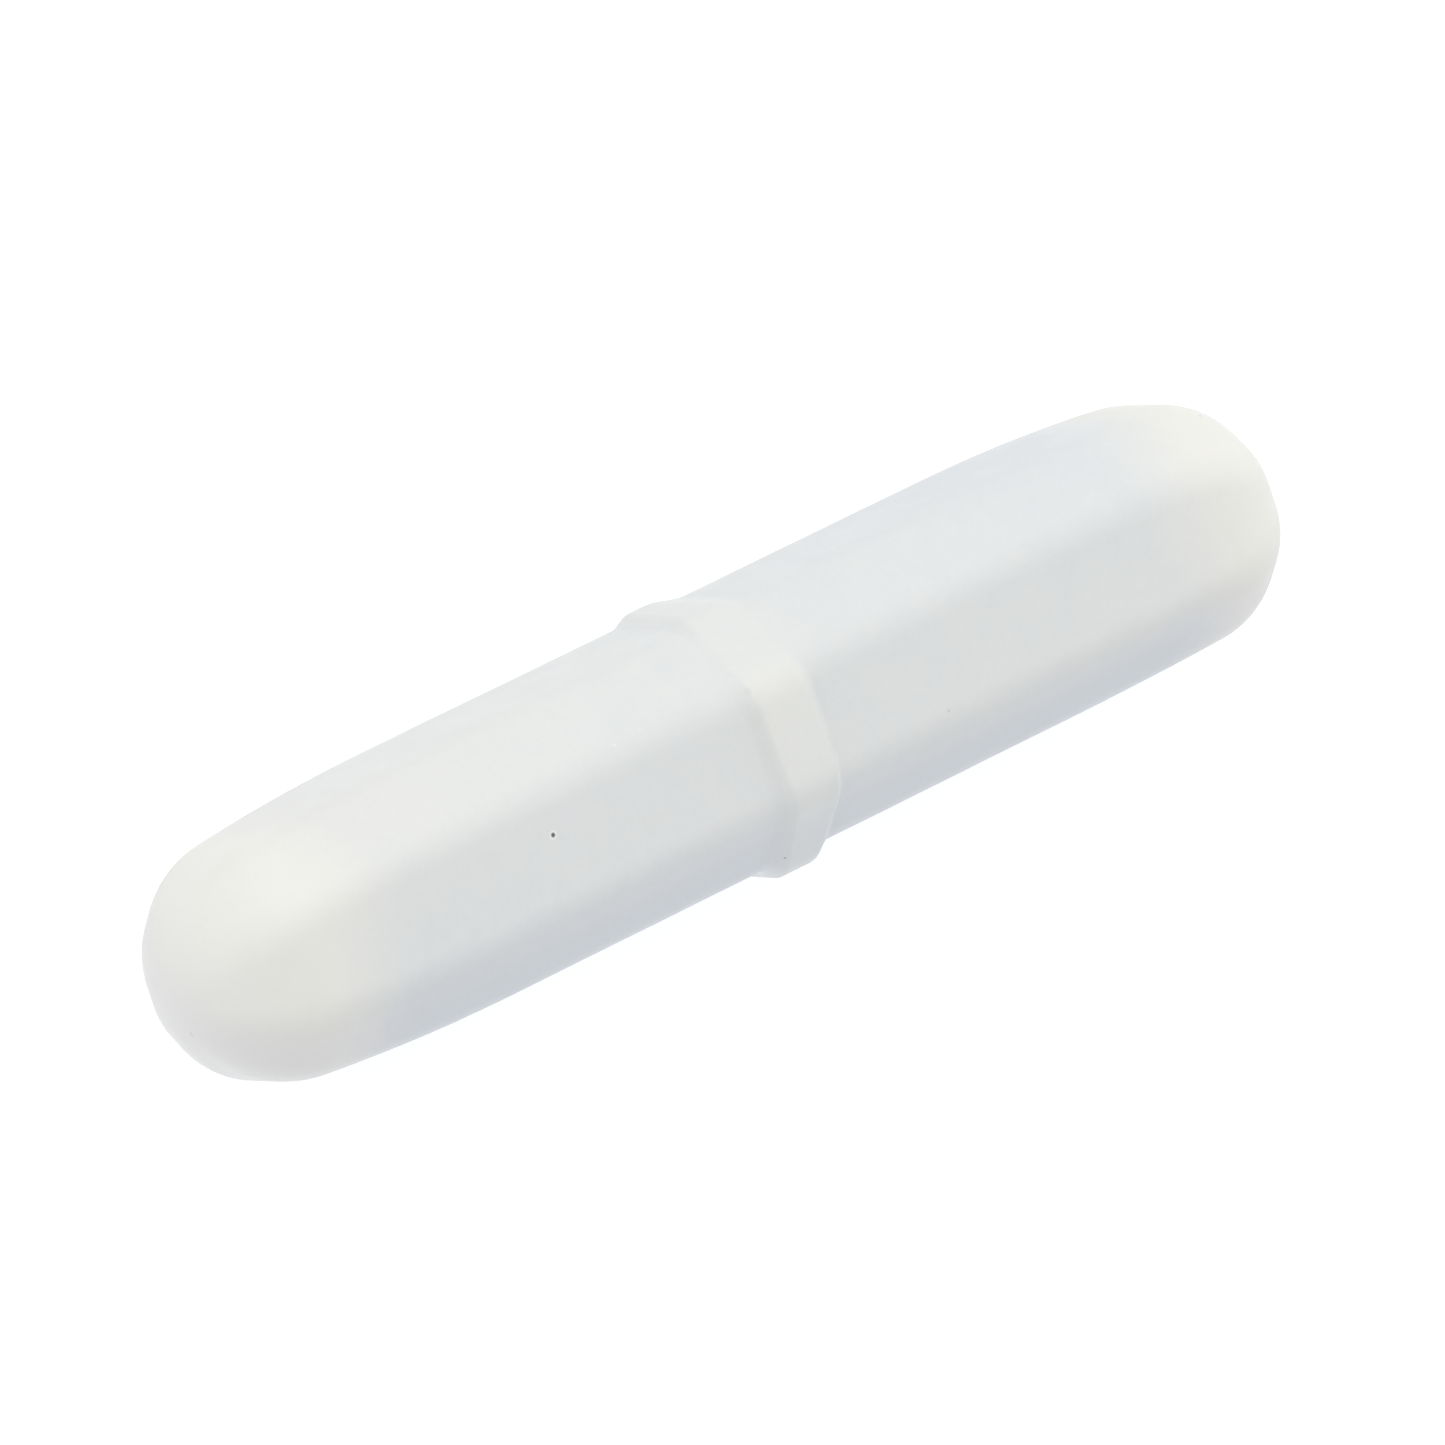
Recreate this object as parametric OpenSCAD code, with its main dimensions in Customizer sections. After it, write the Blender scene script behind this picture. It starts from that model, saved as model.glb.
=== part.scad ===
// Coated magnetic stirring bar: an alnico rod sealed in a white PTFE jacket of octagonal section,
// with domed ends and a low pivot ring moulded round the middle.
//
// Frame: +X runs along the bar, +Z is up. The origin is the centre of the ring's lowest flat,
// which is the face that the bar rests on.

/* [Bar] */
// Overall length, tip to tip
bar_length = 40; // [30:1:60]
// Distance between two opposite flats of the octagonal body
across_flats = 8; // [6:0.5:10]
// Width across the diagonal flats as a share of the width across the upright and level ones
diagonal_share = 0.95; // [0.94:0.01:1]
// Rounding of the eight long edges
edge_radius = 1.3; // [0.4:0.1:2.4]

/* [Domed ends] */
// Length over which the body draws in to a tip
dome_length = 9.8; // [6:0.1:12]
// Tip radius as a share of the body's half width: higher is blunter
dome_bluntness = 0.93; // [0.6:0.01:0.94]

/* [Pivot ring] */
// Height of the ring above the level and upright flats: the ring is a regular octagon
ring_height = 0.3; // [0.2:0.05:1]
// Width of the ring where it meets the body
ring_base_width = 2.6; // [1.6:0.1:4]
// Width of the flat crest of the ring
ring_crest_width = 1.4; // [0.5:0.1:1.5]
// Rounding of the ring's eight corners
ring_edge_radius = 1.6; // [0.4:0.1:2.6]

/* [Magnet] */
// Thickness of the jacket between the magnet and a flat
wall = 1.2; // [0.8:0.1:1.6]
// Length of solid PTFE beyond each end of the magnet
plug_length = 4; // [3:0.5:6]
// Bevel on the two ends of the magnet
magnet_bevel = 0.3; // [0.1:0.1:0.6]

/* [Hidden] */
$fn = 96;

// Each pair of opposite sides is one slab, so half a turn holds them all
flat_turns = [0, 90];
diagonal_turns = [45, 135];
edge_turns = [22.5, 67.5, 112.5, 157.5];
diagonal_angle = diagonal_turns[0];
edge_angle = edge_turns[0];
half_flat = across_flats/2;
half_diagonal_flat = half_flat*diagonal_share;
half_ring_flat = half_flat + ring_height;
half_length = bar_length/2;
axis_height = half_ring_flat;
magnet_radius = half_flat - wall;
magnet_length = bar_length - 2*plug_length;
slab_depth = 2*across_flats;
shoulder_steps = 5;
tip_steps = 9;

jacket_white = [0.92, 0.93, 0.93];
plug_ivory = [0.95, 0.95, 0.92];
alnico_grey = [0.36, 0.36, 0.38];

// Distance from the axis to a rounded corner between a flat and its diagonal neighbour
function corner_reach(flat_reach, diagonal_reach, radius) =
    let (
        centre_out = flat_reach - radius,
        centre_along = (diagonal_reach - radius - centre_out*cos(diagonal_angle))
            /sin(diagonal_angle)
    )
    centre_out*cos(edge_angle) + centre_along*sin(edge_angle) + radius;

// Quarter outline of a domed end that starts at height h: a long shallow shoulder arc that leaves
// the flat without a kink, then a blunt tip arc that meets the axis square on
function dome_outline(h) =
    let (
        tip_radius = dome_bluntness*h,
        shoulder_radius = (dome_length*dome_length - 2*dome_length*tip_radius + h*h)
            /(2*(h - tip_radius)),
        shoulder_x = half_length - dome_length,
        tip_x = half_length - tip_radius,
        join_angle = atan2(shoulder_radius - h, tip_x - shoulder_x)
    )
    concat(
        [for (i = [0:shoulder_steps - 1])
            let (a = 90 - (90 - join_angle)*i/shoulder_steps)
            [shoulder_x + shoulder_radius*cos(a), h - shoulder_radius + shoulder_radius*sin(a)]],
        [for (i = [0:tip_steps])
            let (a = join_angle*(1 - i/tip_steps))
            [tip_x + tip_radius*cos(a), tip_radius*sin(a)]]
    );

// Trapezoid of the pivot ring, from left to right
function ring_outline(h, crest) = [
    [-ring_base_width/2, h], [-ring_crest_width/2, crest],
    [ring_crest_width/2, crest], [ring_base_width/2, h]
];

function mirrored_left(points) =
    [for (i = [len(points) - 1:-1:0]) [-points[i][0], points[i][1]]];

// Whole side outline of the bar, with body height h and ring crest height crest
module side_outline(h, crest) {
    right = dome_outline(h);
    upper = concat(mirrored_left(right), ring_outline(h, crest), right);
    lower = [for (i = [len(upper) - 2:-1:1]) [upper[i][0], -upper[i][1]]];
    polygon(concat(upper, lower));
}

// The outline carried straight across the bar: it shapes one pair of opposite sides
module side_slab(h, crest)
    rotate([90, 0, 0])
        linear_extrude(height = slab_depth, center = true)
            side_outline(h, crest);

// What several copies of a slab, turned about the bar's axis, have in common
module crossed(turns)
    intersection_for (turn = turns)
        rotate([turn, 0, 0])
            children();

// Outer form of the bar about its own axis: level and upright flats, diagonal flats, eased edges
module outer_form()
    intersection() {
        crossed(flat_turns)
            side_slab(half_flat, half_ring_flat);
        crossed(diagonal_turns)
            side_slab(half_diagonal_flat, half_ring_flat);
        crossed(edge_turns)
            side_slab(
                corner_reach(half_flat, half_diagonal_flat, edge_radius),
                corner_reach(half_ring_flat, half_ring_flat, ring_edge_radius));
    }

// Round rod along +X from x = start
module rod_along_x(radius, start, length)
    translate([start, 0, 0])
        rotate([0, 90, 0])
            cylinder(r = radius, h = length);

// Cast alnico rod with bevelled ends
module magnet_core()
    color(alnico_grey)
        translate([0, 0, axis_height])
            rotate([0, 90, 0])
                rotate_extrude()
                    polygon([
                        [0, -magnet_length/2],
                        [magnet_radius - magnet_bevel, -magnet_length/2],
                        [magnet_radius, magnet_bevel - magnet_length/2],
                        [magnet_radius, magnet_length/2 - magnet_bevel],
                        [magnet_radius - magnet_bevel, magnet_length/2],
                        [0, magnet_length/2]
                    ]);

// PTFE jacket with its integral ring, bored through for the magnet and the two end plugs
module jacket_sleeve()
    color(jacket_white)
        translate([0, 0, axis_height])
            difference() {
                outer_form();
                rod_along_x(magnet_radius, -bar_length, 2*bar_length);
            }

// Solid PTFE end, flush with the dome: side is -1 for the left end and 1 for the right end
module end_plug(side)
    color(plug_ivory)
        translate([0, 0, axis_height])
            mirror([side < 0 ? 1 : 0, 0, 0])
                intersection() {
                    outer_form();
                    rod_along_x(magnet_radius, magnet_length/2, bar_length);
                }

module end_plug_left() end_plug(-1);

module end_plug_right() end_plug(1);

magnet_core();
jacket_sleeve();
end_plug_left();
end_plug_right();
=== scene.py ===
"""Looks of a PTFE coated magnetic stir bar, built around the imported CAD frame.

Frame: +X along the bar, +Z up, origin under the middle of the pivot ring, metres. Angles round the
bar start at the top and grow towards the back, so the flat that faces the camera is at -45 degrees.
"""
import math

import bpy
import numpy as np
from mathutils import Matrix, Vector


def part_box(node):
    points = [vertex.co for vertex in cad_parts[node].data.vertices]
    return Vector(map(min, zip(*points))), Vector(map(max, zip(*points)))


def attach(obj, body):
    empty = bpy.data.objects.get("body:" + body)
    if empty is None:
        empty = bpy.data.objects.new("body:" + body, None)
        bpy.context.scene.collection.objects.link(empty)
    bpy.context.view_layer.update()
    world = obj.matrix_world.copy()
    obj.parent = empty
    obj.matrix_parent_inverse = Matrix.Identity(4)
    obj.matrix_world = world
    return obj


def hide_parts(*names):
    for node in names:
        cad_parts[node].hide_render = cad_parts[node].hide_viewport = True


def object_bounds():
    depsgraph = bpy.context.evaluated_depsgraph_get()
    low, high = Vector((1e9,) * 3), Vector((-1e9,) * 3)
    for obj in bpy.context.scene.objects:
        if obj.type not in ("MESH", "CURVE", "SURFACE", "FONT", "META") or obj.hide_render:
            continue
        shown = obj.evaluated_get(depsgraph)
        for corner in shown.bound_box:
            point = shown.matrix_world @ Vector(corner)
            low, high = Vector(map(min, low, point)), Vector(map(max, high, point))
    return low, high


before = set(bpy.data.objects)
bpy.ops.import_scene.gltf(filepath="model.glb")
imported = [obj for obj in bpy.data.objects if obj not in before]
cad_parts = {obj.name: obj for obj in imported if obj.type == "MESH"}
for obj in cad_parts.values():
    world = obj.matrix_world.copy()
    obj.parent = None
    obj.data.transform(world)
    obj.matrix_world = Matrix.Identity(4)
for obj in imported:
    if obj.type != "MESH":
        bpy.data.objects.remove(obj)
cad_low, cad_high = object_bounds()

MM = 0.001
LEFT = -1
RIGHT = 1

# ---------------------------------------------------------------- sizes taken from the frame
HALF_LENGTH = (cad_high[0] - cad_low[0]) / 2
HALF_RING = (cad_high[2] - cad_low[2]) / 2
AXIS_Z = (cad_high[2] + cad_low[2]) / 2
magnet_low, magnet_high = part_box("magnet_core")
MAGNET_RADIUS = (magnet_high.z - magnet_low.z) / 2
MAGNET_END = magnet_high.x

# ---------------------------------------------------------------- form of the jacket, as in the CAD
RING_HEIGHT = 0.3 * MM
HALF_FLAT = HALF_RING - RING_HEIGHT
DIAGONAL_SHARE = 0.95
DOME_LENGTH = 9.8 * MM
DOME_BLUNTNESS = {LEFT: 0.93, RIGHT: 0.95}    # the right end came out a little blunter
RING_HALF_BASE = 1.3 * MM
RING_HALF_CREST = 0.7 * MM
RING_EDGE_RADIUS = 1.6 * MM

# ---------------------------------------------------------------- what the moulding adds to it
EDGE_SHARE = 0.38              # edge rounding as a share of the half width along the body
TIP_EDGE_SHARE = 0.74          # the same share at the tip, where the octagon has almost faded out
TIP_EDGE_POWER = 3             # how late in the dome it changes
WAVE_DEPTH = 0.012 * MM        # moulded flats are never quite flat
DROOP = {LEFT: 0.0, RIGHT: 0.32 * MM}    # the right end was pressed out of line
DROOP_ANGLE = math.radians(-120)         # towards the lower front

# the ring isn't quite regular either: it is lower and softer towards one side
RING_DIAGONAL_SHARE = 0.985
RING_SHIFT = -0.05 * MM        # it is not quite in the middle
RING_LOW_SIDE = math.radians(20)
RING_DROP = 0.24 * MM          # how much lower it is there
RING_TRUE_SHARE = 0.1          # how near the opposite side it has its full height
RING_CORNER = 0.12             # rounding of its edges as a share of the flank's width
RING_SOFT_CORNER = 0.48        # the same share on the low side
RING_SOFT_POWER = 4            # how closely the softness keeps to that side
RING_FILLET = 0.5              # rounding of the left foot, where the ring runs out softly
RING_NARROWING = 0.93          # share of each half of the crest that is lost where it is narrowest
RING_LEFT_NARROW = math.radians(170)     # where the left half is narrowest
RING_LEFT_FOOT = -0.25         # how much further out its foot is there, as a share
RING_RIGHT_NARROW = math.radians(60)     # where the right half is narrowest
RING_RIGHT_POWER = 2           # how closely the narrowing keeps to that side
RING_RIGHT_FOOT = 0.15
RING_RIGHT_CREST = 0.62 * MM   # reach of the crest's right half, away from the front
RING_FRONT = math.radians(-45)
RING_FRONT_CREST = 0.40 * MM   # how much further it reaches on the front
RING_FRONT_POWER = 4

# waves that make up the unevenness: radians per millimetre, waves round the bar, phase and height
WAVES = ((0.47, 2, 0.6, 1.0), (0.83, -3, 2.1, 0.8), (1.61, 5, 4.0, 0.5), (2.3, -7, 1.3, 0.4))

# ---------------------------------------------------------------- the plugs' shanks and the magnet
SHANK_LENGTH = 1.8 * MM        # the bore is straight from the magnet's end to this far beyond
SHANK_END = MAGNET_END + SHANK_LENGTH
PLUG_EASE = 0.12 * MM          # rounding at the plug's inner face
MAGNET_BEVEL = 0.3 * MM
PIT_DEPTH = 0.06 * MM          # greatest depth of the magnet's casting pits
PIT_LEVEL = 0.62               # unevenness above which there is a pit
PITS_ALONG = 9                 # how much finer the pits are than the unevenness of the jacket
PITS_AROUND = 4
PIT_PATCHES = 3.1              # and the patches that they come in

# ---------------------------------------------------------------- mesh density
AROUND = 256
CAP_RINGS = 28
DOME_RINGS = 44
BORE_RINGS = 9
SHANK_RINGS = 4
EASE_RINGS = 6
MAGNET_RINGS = 161
PLUG_FACE_SHARES = (0.7, 0.4, 0.1)       # loops on a flat end, as shares of the radius
MAGNET_FACE_SHARES = (0.15, 0.4, 0.65, 0.85)
TAPER_STEP = 0.22 * MM
BODY_STEP = 0.30 * MM
RING_STEP = 0.028 * MM
RING_ZONE = 1.3                # the fine loops reach this many half widths of the ring's base
RIM_STEP = 0.003               # a loop this close to the plug's rim, in radians, keeps the seam smooth
BISECTIONS = 40

theta = np.linspace(0, 2 * math.pi, AROUND, endpoint=False)


def side_of(x):
    """End of the bar that a place along it belongs to."""
    return LEFT if x < 0 else RIGHT


def into_dome(reach):
    """0 up to where a dome starts and 1 at its tip."""
    return np.clip((reach - HALF_LENGTH + DOME_LENGTH) / DOME_LENGTH, 0, 1)


def facing(angle, centre, power=1):
    """1 at one angle round the bar, falling to 0 on the opposite side."""
    return (0.5 + 0.5 * np.cos(angle - centre)) ** power


def smooth_ramp(t, ease_in, ease_out):
    """0 below t = 0 and 1 above t = 1, straight between two rounded corners."""
    t = np.clip(t, 0, 1)
    full = 1 - (ease_in + ease_out) / 2
    rise = np.minimum(t, ease_in) ** 2 / (2 * ease_in)
    straight = np.clip(t - ease_in, 0, 1 - ease_in - ease_out)
    fall = np.clip(t - (1 - ease_out), 0, ease_out)
    return (rise + straight + fall - fall ** 2 / (2 * ease_out)) / full


def bisect(low, high, is_past):
    """Value between low and high at which is_past turns true, for each theta."""
    low = np.full(theta.shape, low)
    high = np.full(theta.shape, high)
    for _ in range(BISECTIONS):
        middle = (low + high) / 2
        past = is_past(middle)
        high = np.where(past, middle, high)
        low = np.where(past, low, middle)
    return low


# ---------------------------------------------------------------- the outside as a formula
def outline(x, h, side):
    """Height of the side outline at distance x from the middle: flat, shoulder arc, tip arc."""
    tip_radius = DOME_BLUNTNESS[side] * h
    shoulder_radius = (DOME_LENGTH ** 2 - 2 * DOME_LENGTH * tip_radius + h * h) / (2 * (h - tip_radius))
    shoulder_x = HALF_LENGTH - DOME_LENGTH
    tip_x = HALF_LENGTH - tip_radius
    join_x = tip_x + tip_radius * math.cos(math.atan2(shoulder_radius - h, tip_x - shoulder_x))
    along = np.clip(x - shoulder_x, 0, shoulder_radius)
    shoulder = h - shoulder_radius + np.sqrt(shoulder_radius ** 2 - along ** 2)
    tip = np.sqrt(np.maximum(tip_radius ** 2 - (x - tip_x) ** 2, 0))
    return np.where(x < join_x, shoulder, tip)


def rounded_octagon(angle, flat, diagonal, radius):
    """Distance from the axis to an octagon with eased corners, at an angle from a flat."""
    fold = np.mod(angle, math.pi / 2)
    fold = np.minimum(fold, math.pi / 2 - fold)
    centre_u = flat - radius
    centre_v = math.sqrt(2) * (diagonal - radius) - centre_u
    half = radius * math.sqrt(0.5)
    start = np.arctan2(centre_v, flat)
    stop = np.arctan2(centre_v + half, centre_u + half)
    along = centre_u * np.cos(fold) + centre_v * np.sin(fold)
    inside = np.maximum(along ** 2 - centre_u ** 2 - centre_v ** 2 + radius ** 2, 0)
    on_flat = flat / np.cos(fold)
    on_diagonal = diagonal / np.cos(math.pi / 4 - fold)
    return np.where(fold < start, on_flat, np.where(fold > stop, on_diagonal, along + np.sqrt(inside)))


def waviness(x, angle):
    """Slow unevenness of a hot pressed surface, from 0 to 1."""
    u = x / MM
    total = 0
    highest = 0
    for along, around, phase, height in WAVES:
        total = total + height * np.sin(along * u + around * angle + phase)
        highest = highest + height
    return 0.5 + total / (2 * highest)


def ring_crest(angle):
    """Distance from the axis to the ring's crest."""
    crest = rounded_octagon(angle, HALF_RING, HALF_RING * RING_DIAGONAL_SHARE, RING_EDGE_RADIUS)
    return crest - RING_DROP * np.clip(facing(angle, RING_LOW_SIDE) - RING_TRUE_SHARE, 0, 1)


def ring_climb(x, angle):
    """How far the surface has climbed from the body to the ring's crest, from 0 to 1."""
    softness = facing(angle, RING_LOW_SIDE, RING_SOFT_POWER)
    corner = RING_CORNER + (RING_SOFT_CORNER - RING_CORNER) * softness

    def flank(half_crest, half_base, foot):
        inwards = (half_base - np.abs(x - RING_SHIFT)) / (half_base - half_crest)
        return smooth_ramp(inwards, foot, corner)

    narrow = facing(angle, RING_LEFT_NARROW)
    half_crest = RING_HALF_CREST * (1 - RING_NARROWING * narrow)
    left = flank(half_crest, RING_HALF_BASE * (1 + RING_LEFT_FOOT * narrow), RING_FILLET)

    narrow = facing(angle, RING_RIGHT_NARROW, RING_RIGHT_POWER)
    half_crest = RING_RIGHT_CREST * (1 - RING_NARROWING * narrow)
    half_crest = half_crest + RING_FRONT_CREST * facing(angle, RING_FRONT, RING_FRONT_POWER)
    right = flank(half_crest, RING_HALF_BASE * (1 + RING_RIGHT_FOOT * narrow), corner)
    return np.where(x < RING_SHIFT, left, right)


def surface_radius(x, angle, side):
    """Distance from the axis to the outside of the bar; negative past the tip."""
    reach = np.abs(x)
    flat = outline(reach, HALF_FLAT, side)
    diagonal = outline(reach, HALF_FLAT * DIAGONAL_SHARE, side)
    share = EDGE_SHARE + (TIP_EDGE_SHARE - EDGE_SHARE) * into_dome(reach) ** TIP_EDGE_POWER
    radius = rounded_octagon(angle, flat, diagonal, share * flat)
    radius = radius + ring_climb(x, angle) * (ring_crest(angle) - radius)
    radius = radius - WAVE_DEPTH * waviness(x, angle) * np.clip(flat / HALF_FLAT, 0, 1) ** 2
    return np.where(reach < HALF_LENGTH, radius, HALF_LENGTH - reach)


# ---------------------------------------------------------------- loops of points round the bar
DOME_CENTRE = HALF_LENGTH - DOME_BLUNTNESS[LEFT] * HALF_FLAT


def to_ring(x, radius):
    """One loop of points round the bar's axis."""
    x = np.broadcast_to(x, theta.shape)
    return np.stack([x, radius * np.sin(theta), AXIS_Z + radius * np.cos(theta)], axis=1)


def lean(points, side):
    """Moves points of the outside along with the end that is out of line."""
    shift = DROOP[side] * into_dome(side * points[:, 0]) ** 2
    points[:, 1] += shift * math.sin(DROOP_ANGLE)
    points[:, 2] += shift * math.cos(DROOP_ANGLE)
    return points


def dome_reach(polar, side):
    """Distance from the dome's centre to its surface at a polar angle off the axis."""
    def is_outside(reach):
        x = DOME_CENTRE + reach * np.cos(polar)
        return reach * np.sin(polar) > surface_radius(side * x, theta, side)

    nearest, furthest = 0.5 * HALF_FLAT, 1.3 * HALF_FLAT
    return bisect(nearest, furthest, is_outside)


def dome_ring(polar, side):
    """Loop on the dome at a polar angle off the axis."""
    reach = dome_reach(polar, side)
    return lean(to_ring(side * (DOME_CENTRE + reach * np.cos(polar)), reach * np.sin(polar)), side)


def rim_angle(side):
    """Polar angle at which the dome is exactly as wide as the bore, for each theta."""
    def is_wide(polar):
        return dome_reach(polar, side) * np.sin(polar) > MAGNET_RADIUS

    least, greatest = 0.2, 1.4
    return bisect(least, greatest, is_wide)


RIM = {side: rim_angle(side) for side in (LEFT, RIGHT)}


def dome_rings(side):
    """Loops of the jacket's dome from the plug's rim to the straight part."""
    spread = [(math.pi / 2 - RIM[side]) * i / DOME_RINGS for i in range(DOME_RINGS)]
    spread.insert(1, RIM_STEP)
    return [dome_ring(RIM[side] + polar, side) for polar in spread]


def stations():
    """Places along the straight part and the ring, close together where the form turns."""
    def spread(a, b, step):
        return np.linspace(a, b, max(2, round((b - a) / step)), endpoint=False)

    ring_end = RING_HALF_BASE * RING_ZONE
    shoulder = HALF_LENGTH - DOME_LENGTH
    right = np.concatenate([
        spread(0, ring_end, RING_STEP), spread(ring_end, shoulder, BODY_STEP),
        spread(shoulder, DOME_CENTRE, TAPER_STEP)])
    return np.concatenate([-right[:0:-1], right])


# ---------------------------------------------------------------- meshes
def mesh_object(name, rings, start_pole=None, end_pole=None, sharp_rings=(), closed=False):
    """Skins a list of loops. A pole closes an end; closed joins the last loop to the first."""
    vertices = [tuple(p) for ring in rings for p in ring]
    faces = []
    count = len(rings)
    for i in range(count if closed else count - 1):
        a = i * AROUND
        b = ((i + 1) % count) * AROUND
        for j in range(AROUND):
            k = (j + 1) % AROUND
            faces.append((a + j, b + j, b + k, a + k))
    for pole, ring_index in ((start_pole, 0), (end_pole, count - 1)):
        if pole is None:
            continue
        tip = len(vertices)
        vertices.append(tuple(pole))
        base = ring_index * AROUND
        for j in range(AROUND):
            k = (j + 1) % AROUND
            faces.append((tip, base + j, base + k) if ring_index == 0 else (tip, base + k, base + j))
    mesh = bpy.data.meshes.new(name)
    mesh.from_pydata(vertices, [], faces)
    mesh.validate()
    mesh.polygons.foreach_set("use_smooth", [True] * len(mesh.polygons))
    sharp = set(sharp_rings)
    touched = [{vertex // AROUND for vertex in edge.vertices} for edge in mesh.edges]
    attribute = mesh.attributes.new("sharp_edge", "BOOLEAN", "EDGE")
    attribute.data.foreach_set("value", [len(loops) == 1 and loops <= sharp for loops in touched])
    mesh.update()
    piece = bpy.data.objects.new(name, mesh)
    bpy.context.scene.collection.objects.link(piece)
    return piece


def make_sleeve():
    """The jacket: outside from rim to rim, then back through the bore."""
    middle = []
    for x in stations():
        side = side_of(x)
        middle.append(lean(to_ring(x, surface_radius(np.full(theta.shape, x), theta, side)), side))
    outside = dome_rings(LEFT) + middle + dome_rings(RIGHT)[::-1]
    bore_x = np.concatenate([[SHANK_END], np.linspace(MAGNET_END, -MAGNET_END, BORE_RINGS), [-SHANK_END]])
    bore = [to_ring(x, np.full(theta.shape, MAGNET_RADIUS)) for x in bore_x]
    return mesh_object("jacket", outside + bore, sharp_rings=(0, len(outside) - 1), closed=True)


def make_plug(name, side):
    """A solid end: the tip of the dome, a round shank and a flat inner face with a small round."""
    def loop(x, radius):
        return to_ring(side * x, np.full(theta.shape, radius))

    cap = [dome_ring(RIM[side] * i / CAP_RINGS, side) for i in range(1, CAP_RINGS)]
    cap += [dome_ring(RIM[side] - RIM_STEP, side), dome_ring(RIM[side], side)]
    shank = [loop(x, MAGNET_RADIUS) for x in np.linspace(SHANK_END, MAGNET_END + PLUG_EASE, SHANK_RINGS)]
    turn = [loop(MAGNET_END + PLUG_EASE * (1 - math.sin(a)), MAGNET_RADIUS - PLUG_EASE * (1 - math.cos(a)))
            for a in np.linspace(0, math.pi / 2, EASE_RINGS)[1:]]
    face = [loop(MAGNET_END, MAGNET_RADIUS * share) for share in PLUG_FACE_SHARES]
    tip = lean(np.array([[side * HALF_LENGTH, 0, AXIS_Z]]), side)[0]
    inner = (side * MAGNET_END, 0, AXIS_Z)
    return mesh_object(name, cap + shank + turn + face, tip, inner, sharp_rings=(len(cap) - 1,))


def make_magnet():
    """Cast alnico rod: bevelled ends, and shallow casting pits that only go inwards."""
    end = [(MAGNET_END, MAGNET_RADIUS * share) for share in MAGNET_FACE_SHARES]
    end.append((MAGNET_END, MAGNET_RADIUS - MAGNET_BEVEL))
    rings = [to_ring(-x, np.full(theta.shape, radius)) for x, radius in end]
    barrel_end = MAGNET_END - MAGNET_BEVEL
    for x in np.linspace(-barrel_end, barrel_end, MAGNET_RINGS):
        pits = np.clip(waviness(PITS_ALONG * x, PITS_AROUND * theta) - PIT_LEVEL, 0, 1)
        pits = pits * waviness(PIT_PATCHES * x, theta)
        rings.append(to_ring(x, MAGNET_RADIUS - PIT_DEPTH * pits))
    rings += [to_ring(x, np.full(theta.shape, radius)) for x, radius in reversed(end)]
    first = len(end)
    last = first + MAGNET_RINGS - 1
    return mesh_object("magnet", rings, (-MAGNET_END, 0, AXIS_Z), (MAGNET_END, 0, AXIS_Z),
                       sharp_rings=(first - 1, first, last, last + 1))


# ---------------------------------------------------------------- materials
class Nodes:
    """Short names for building one node material."""

    def __init__(self, name):
        self.material = bpy.data.materials.new(name)
        self.material.use_nodes = True
        self.tree = self.material.node_tree
        self.shader = self.tree.nodes["Principled BSDF"]
        self.place = self.tree.nodes.new("ShaderNodeTexCoord").outputs["Object"]

    def put(self, socket, value):
        """Links an output to a socket, or sets the socket to a plain value."""
        if isinstance(value, bpy.types.NodeSocket):
            self.tree.links.new(value, socket)
        else:
            socket.default_value = value

    def finish(self, **values):
        """Fills the shader's inputs; an underscore stands for a space in an input's name."""
        for name, value in values.items():
            self.put(self.shader.inputs[name.replace("_", " ")], value)
        return self.material

    def add(self, kind, inputs, **settings):
        node = self.tree.nodes.new(kind)
        for key, value in settings.items():
            setattr(node, key, value)
        for key, value in inputs.items():
            self.put(node.inputs[key], value)
        return node

    def math(self, operation, a, b=0.0):
        return self.add("ShaderNodeMath", {0: a, 1: b}, operation=operation).outputs[0]

    def noise(self, scale, detail=4.0, roughness=0.5, stretch=None):
        vector = self.place
        if stretch:
            vector = self.add("ShaderNodeMapping", {"Vector": vector, "Scale": stretch}).outputs[0]
        return self.add("ShaderNodeTexNoise", {
            "Vector": vector, "Scale": scale, "Detail": detail, "Roughness": roughness}).outputs["Fac"]

    def swing(self, noise, depth):
        """Noise as a change up or down, of at most half of depth."""
        return self.math("MULTIPLY", self.math("SUBTRACT", noise, 0.5), depth)

    def ramp(self, value, low, high, to_low=0.0, to_high=1.0):
        return self.add("ShaderNodeMapRange", {
            "Value": value, "From Min": low, "From Max": high, "To Min": to_low, "To Max": to_high},
            interpolation_type="SMOOTHSTEP").outputs[0]

    def mix(self, factor, a, b):
        """Colour that is a where the factor is 0 and b where it is 1."""
        return self.add("ShaderNodeMix", {0: factor, 6: a, 7: b}, data_type="RGBA").outputs[2]

    def bump(self, height, strength, distance, **below):
        return self.add("ShaderNodeBump", {
            "Height": height, "Strength": strength, "Distance": distance, **below}).outputs[0]


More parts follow.
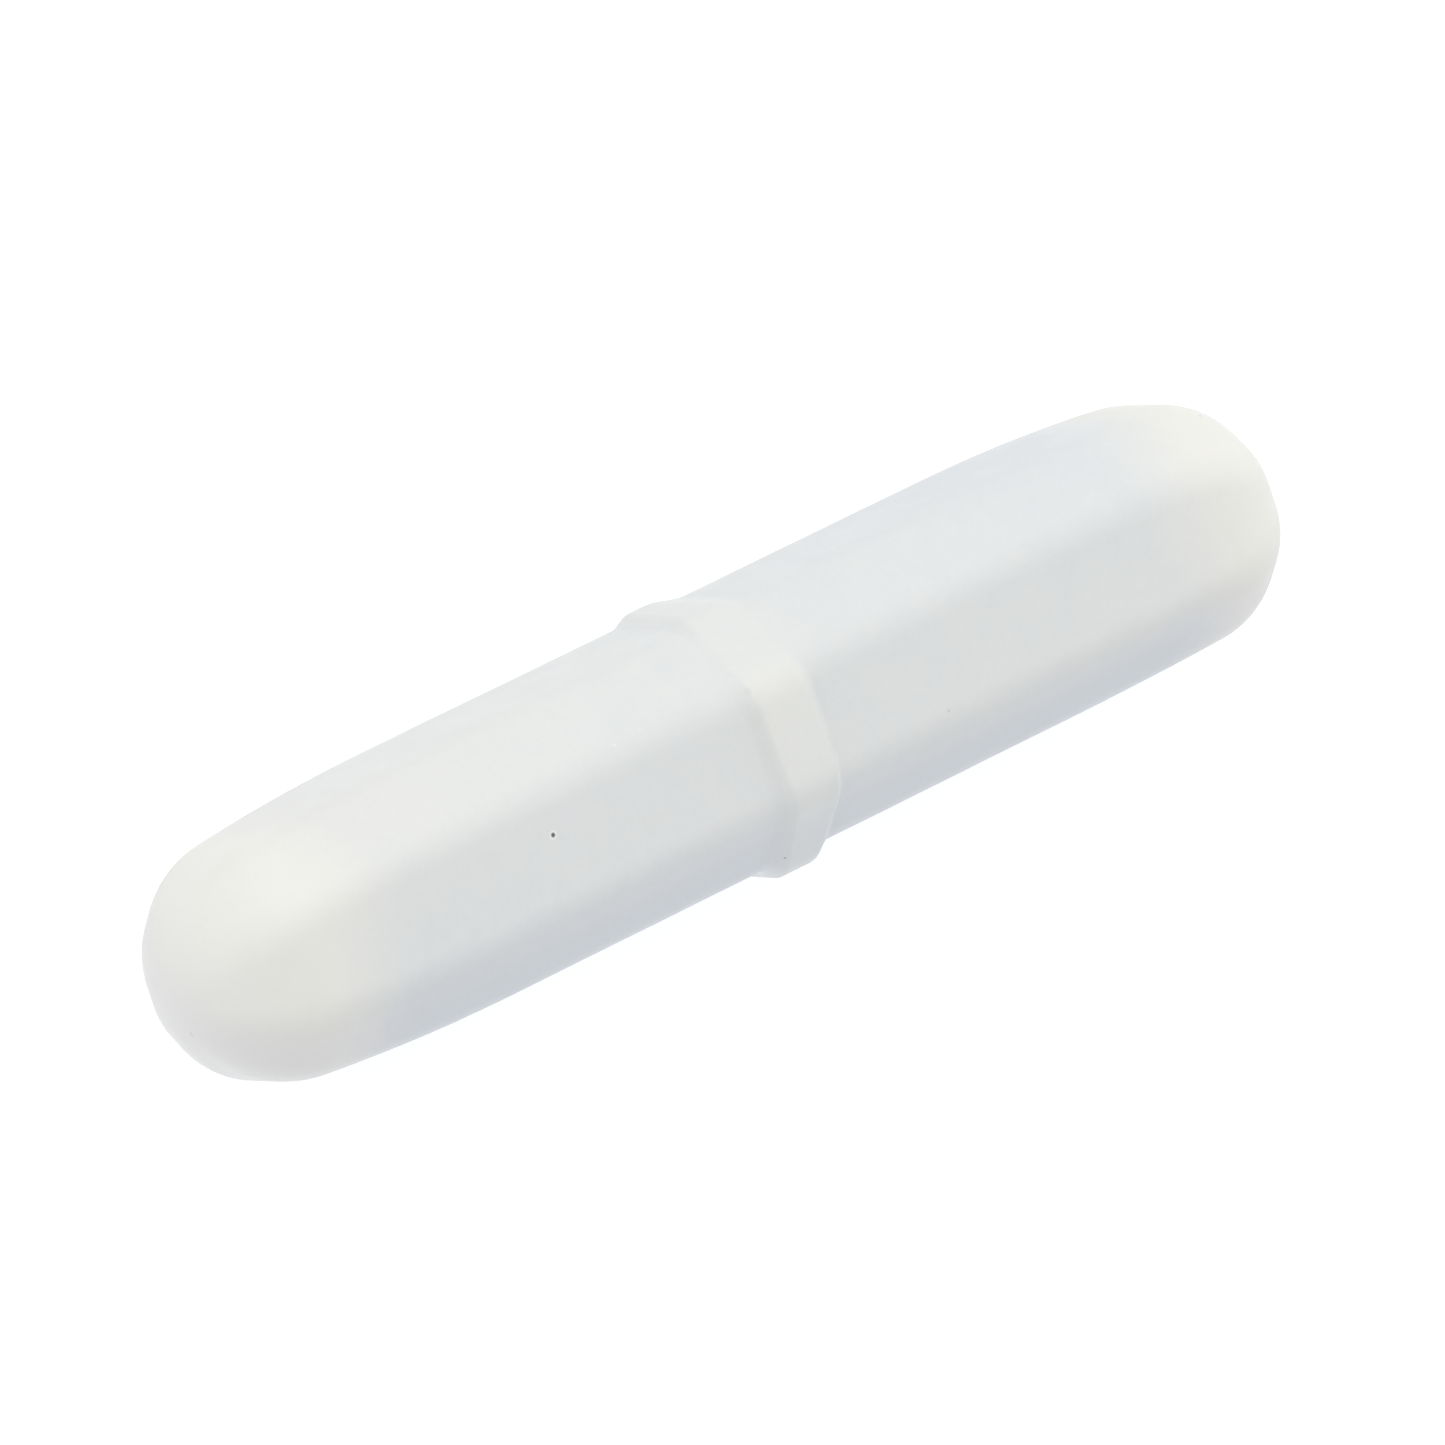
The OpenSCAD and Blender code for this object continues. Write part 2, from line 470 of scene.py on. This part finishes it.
# albedo of PTFE: solid, on the ring, and over the magnet where the wall is thickest and thinnest, these
# two also carrying painted light and shade; then painted underside shade on the solid ends and over the
# magnet
IVORY = (0.752, 0.752, 0.709, 1)
PAINTED_SHADE_IVORY = (0.728, 0.722, 0.704, 1)
RING_WHITE = (0.718, 0.728, 0.703, 1)
THICK_WALL_AND_PAINTED_LIGHT = (0.704, 0.712, 0.694, 1)
THIN_WALL_AND_PAINTED_SHADE = (0.648, 0.676, 0.697, 1)
PAINTED_SHADE_OVER_MAGNET = (0.624, 0.653, 0.681, 1)
GRAIN_WHITE = (0.93, 0.93, 0.92, 1)
GRAINS = ((900, 0.02), (2600, 0.03), (7500, 0.05))    # scale and depth of each layer of fine grain
FADE_INSIDE = 2.4 * MM         # the magnet's tone fades out from this far inside its end
FADE_BEYOND = 1.2 * MM         # to this far beyond it
FADE_DRIFT = 2.4 * MM          # and the place where it does so wanders
UNDERSIDE_SHADE_START = 0.37 * HALF_FLAT   # height over the axis at which the painted underside shade begins
UNDERSIDE_SHADE_FULL = -0.05 * HALF_FLAT   # and at which it is complete
# direction round the bar of the painted light gradient
PAINTED_LIGHT_TILT_ANGLE = math.radians(45)
RING_WHITE_ANGLE = math.radians(-35)
RING_WHITE_START = 0.84 * HALF_RING      # the ring turns whiter from this far out towards that angle
RING_WHITE_FULL = 0.97 * HALF_RING
RING_WHITE_LEAST = 0.35        # how much of the ring's white there is elsewhere

# specks in the jacket, among them painted highlights and a pinhole whose dark core is painted shade:
# millimetres from the middle, degrees round the bar, radius in millimetres, strength and colour
PAINTED_HIGHLIGHT = (0.86, 0.87, 0.86, 1)
PINHOLE_PAINTED_SHADE = (0.10, 0.10, 0.11, 1)
SPECK_BROWN = (0.28, 0.25, 0.22, 1)
SPECKS = (
    # painted highlight round a pinhole, then the pinhole's dark core as painted shade
    (-8.58, -37.2, 0.14, 0.6, PAINTED_HIGHLIGHT),
    (-8.58, -37.2, 0.08, 0.95, PINHOLE_PAINTED_SHADE),
    (-0.62, -99.8, 0.05, 0.6, SPECK_BROWN),
    (-0.92, -19.9, 0.13, 0.07, SPECK_BROWN),
    # painted glints near the edge between the top and front flats
    (-5.55, -15.4, 0.05, 0.4, PAINTED_HIGHLIGHT),
    (-4.57, -14.4, 0.05, 0.3, PAINTED_HIGHLIGHT),
    (5.36, -64.7, 0.05, 0.3, SPECK_BROWN),
    (18.03, 14.0, 0.07, 0.3, SPECK_BROWN),
    (-19.86, -118.7, 0.09, 0.15, SPECK_BROWN),
)
SPECK_CORE = 0.5               # a speck has its full strength up to this share of its radius
SPECK_EDGE = 1.2               # and has faded out at this one

ALNICO_DARK = (0.20, 0.20, 0.21, 1)
ALNICO_LIGHT = (0.42, 0.42, 0.43, 1)
FLOOR_GREY = (0.30, 0.312, 0.336, 1)
FLOOR_PALE = (0.31, 0.322, 0.346, 1)
FLOOR_GLOW = (0.985, 0.99, 1.0, 1)


def on_surface(x, angle):
    """Point on the outside of the bar."""
    side = side_of(x)
    radius = surface_radius(np.array([x]), np.array([angle]), side)[0]
    point = np.array([[x, radius * math.sin(angle), AXIS_Z + radius * math.cos(angle)]])
    return tuple(lean(point, side)[0])


def ptfe(name):
    """White PTFE: ivory where it is solid, cooler and greyer where the magnet shows through it, with
    painted shade on the underside, a painted light gradient along the bar, and painted highlights and
    pinhole shade among its specks.
    """
    n = Nodes(name)
    x, y, z = n.add("ShaderNodeSeparateXYZ", {0: n.place}).outputs
    reach = n.math("ABSOLUTE", x)
    height = n.math("SUBTRACT", z, AXIS_Z)

    def towards(angle):
        """Distance from the axis, measured towards an angle round the bar."""
        aside = n.math("MULTIPLY", y, math.sin(angle))
        return n.math("ADD", aside, n.math("MULTIPLY", height, math.cos(angle)))

    edge = n.math("ADD", reach, n.swing(n.noise(scale=240, detail=3), FADE_DRIFT))
    over_magnet = n.ramp(edge, MAGNET_END - FADE_INSIDE, MAGNET_END + FADE_BEYOND, to_low=1.0, to_high=0.0)
    # painted light and shade: the upper back is darker and bluer towards the right end and lighter towards
    # the left, the lower front the other way round
    painted_light_tilt = n.math("DIVIDE", n.math("MULTIPLY", x, towards(PAINTED_LIGHT_TILT_ANGLE)), MAGNET_END * HALF_FLAT)
    patchy = n.swing(n.noise(scale=180, detail=4, roughness=0.6), depth=0.8)
    mottle = n.swing(n.noise(scale=1100, detail=3, roughness=0.6), depth=1.0)
    thinness_and_painted_light = n.ramp(n.math("ADD", painted_light_tilt, n.math("ADD", patchy, mottle)), -1.0, 1.0)
    # painted shade: darker and bluer from a little above the axis downwards, all along the magnet
    painted_underside_shade = n.ramp(height, UNDERSIDE_SHADE_FULL, UNDERSIDE_SHADE_START, to_low=1.0, to_high=0.0)
    magnet_tone_and_painted_shade = n.mix(painted_underside_shade, n.mix(thinness_and_painted_light, THICK_WALL_AND_PAINTED_LIGHT, THIN_WALL_AND_PAINTED_SHADE), PAINTED_SHADE_OVER_MAGNET)
    # the ring is whiter, and most of all on its upper front
    upper_front = n.ramp(towards(RING_WHITE_ANGLE), RING_WHITE_START, RING_WHITE_FULL,
                         to_low=RING_WHITE_LEAST)
    on_ring = n.ramp(reach, RING_HALF_CREST, RING_HALF_BASE, to_low=1.0, to_high=0.0)
    magnet_tone_and_painted_shade = n.mix(n.math("MULTIPLY", on_ring, upper_front), magnet_tone_and_painted_shade, RING_WHITE)
    # the solid ends get painted shade below the axis as well
    colour = n.mix(over_magnet, n.mix(painted_underside_shade, IVORY, PAINTED_SHADE_IVORY), magnet_tone_and_painted_shade)
    for scale, depth in GRAINS:
        grain = n.ramp(n.noise(scale, detail=3, roughness=0.6), 0.25, 0.75, to_high=depth)
        colour = n.mix(grain, colour, GRAIN_WHITE)
    for x_mm, degrees, radius_mm, strength, tint in SPECKS:
        centre = on_surface(x_mm * MM, math.radians(degrees))
        away = n.add("ShaderNodeVectorMath", {0: n.place, 1: centre}, operation="DISTANCE")
        speck = n.ramp(away.outputs["Value"], SPECK_CORE * radius_mm * MM, SPECK_EDGE * radius_mm * MM,
                       to_low=strength, to_high=0.0)
        colour = n.mix(speck, colour, tint)
    gloss = n.ramp(n.noise(scale=900), 0.3, 0.7, to_low=0.36, to_high=0.48)
    grain = n.bump(n.noise(scale=5200, roughness=0.6), strength=0.05, distance=0.02 * MM)
    ripple = n.bump(n.noise(scale=420, detail=3), strength=0.12, distance=0.04 * MM, Normal=grain)
    return n.finish(Base_Color=colour, Roughness=gloss, Normal=ripple, IOR=1.36, Specular_IOR_Level=0.25)


def alnico():
    """Dull grey cast metal with ground streaks round the rod and darker pits."""
    n = Nodes("alnico")
    pits = n.noise(scale=1500, detail=6, roughness=0.65)
    streaks = n.noise(scale=400, detail=5, roughness=0.6, stretch=(22, 1, 1))
    colour = n.mix(n.ramp(pits, 0.35, 0.7), ALNICO_DARK, ALNICO_LIGHT)
    gloss = n.ramp(streaks, 0.3, 0.7, to_low=0.38, to_high=0.62)
    ground = n.bump(streaks, strength=0.25, distance=0.03 * MM)
    cast = n.bump(pits, strength=0.35, distance=0.05 * MM, Normal=ground)
    return n.finish(Base_Color=colour, Roughness=gloss, Normal=cast, Metallic=1.0)


def floor_material():
    """Pale floor lit from below, like a light table, so that it is white and hardly takes a shadow."""
    n = Nodes("pale_floor")
    colour = n.mix(n.noise(scale=8, detail=2), FLOOR_GREY, FLOOR_PALE)
    return n.finish(Base_Color=colour, Roughness=0.9, Emission_Color=FLOOR_GLOW, Emission_Strength=0.82)


# ---------------------------------------------------------------- the object
jacket = make_sleeve()
plug_left = make_plug("plug_left", LEFT)
plug_right = make_plug("plug_right", RIGHT)
magnet = make_magnet()
white = ptfe("ptfe_jacket")
solid_white = ptfe("ptfe_plug")
PIECES = (
    (jacket, "jacket_sleeve", "ptfe_jacket", white),
    (plug_left, "end_plug_left", "ptfe_plug", solid_white),
    (plug_right, "end_plug_right", "ptfe_plug", solid_white),
    (magnet, "magnet_core", "alnico", alnico()),
)
for piece, node, slot, material in PIECES:
    piece.data.materials.append(material)
    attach(piece, "root")
    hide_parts(node)

# ---------------------------------------------------------------- floor, light and camera
FLOOR_SIZE = 3.0
bpy.ops.mesh.primitive_plane_add(size=FLOOR_SIZE, location=(0, 0, cad_low[2]))
floor = bpy.context.object
floor.name = "floor"
floor.data.materials.append(floor_material())


def direction(azimuth, elevation):
    """Unit vector from the bar towards the angles in degrees; azimuth 0 is in front of it."""
    a, e = math.radians(azimuth), math.radians(elevation)
    return Vector((math.sin(a) * math.cos(e), -math.cos(a) * math.cos(e), math.sin(e)))


LIGHT_DISTANCE = 1.0


def area_light(name, power, size, azimuth, elevation, colour):
    """A soft square light that looks at the bar."""
    back = direction(azimuth, elevation)
    data = bpy.data.lights.new(name, "AREA")
    data.energy = power
    data.size = size
    data.color = colour
    light = bpy.data.objects.new(name, data)
    light.rotation_euler = back.to_track_quat("Z", "Y").to_euler()
    light.location = Vector((0, 0, AXIS_Z)) + back * LIGHT_DISTANCE
    bpy.context.scene.collection.objects.link(light)


area_light("overhead", power=9.05, size=1.0, azimuth=0, elevation=90, colour=(1.0, 1.0, 0.98))
area_light("left_end", power=1.6, size=0.8, azimuth=-90, elevation=15, colour=(1.0, 0.98, 1.0))
area_light("right_end", power=2.45, size=0.8, azimuth=90, elevation=15, colour=(1.0, 1.0, 0.98))
area_light("front_right", power=1.15, size=0.8, azimuth=45, elevation=30, colour=(1.0, 0.97, 0.90))
area_light("back_left", power=1.75, size=0.8, azimuth=-135, elevation=30, colour=(1.0, 1.0, 1.0))
area_light("back_right", power=0.6, size=0.8, azimuth=135, elevation=30, colour=(1.0, 1.0, 1.0))

world = bpy.data.worlds.new("studio")
world.use_nodes = True
background = world.node_tree.nodes["Background"]
background.inputs["Color"].default_value = (0.95, 0.95, 1.0, 1)
background.inputs["Strength"].default_value = 0.25
bpy.context.scene.world = world

view = bpy.context.scene.view_settings
view.view_transform = "Standard"
view.look = "None"

CAMERA_AZIMUTH = -50.37
CAMERA_ELEVATION = 47.62
CAMERA_ROLL = 15.58
CAMERA_DISTANCE = 0.6488
CAMERA_AIM = Vector((0.293, 0.152, 4.594)) * MM
CAMERA_LENS = 564.7
CAMERA_SENSOR = 36

towards_camera = direction(CAMERA_AZIMUTH, CAMERA_ELEVATION)
level = Vector((0, 0, 1)).cross(towards_camera).normalized()
upward = towards_camera.cross(level)
turned = Matrix((level, upward, towards_camera)).transposed().to_4x4()
camera_data = bpy.data.cameras.new("camera")
camera_data.lens = CAMERA_LENS
camera_data.sensor_width = CAMERA_SENSOR
camera_data.clip_start = 0.01
camera_data.clip_end = 20
camera = bpy.data.objects.new("camera", camera_data)
camera.matrix_world = (Matrix.Translation(CAMERA_AIM + towards_camera * CAMERA_DISTANCE) @ turned
                       @ Matrix.Rotation(math.radians(CAMERA_ROLL), 4, "Z"))
bpy.context.scene.collection.objects.link(camera)
bpy.context.scene.camera = camera
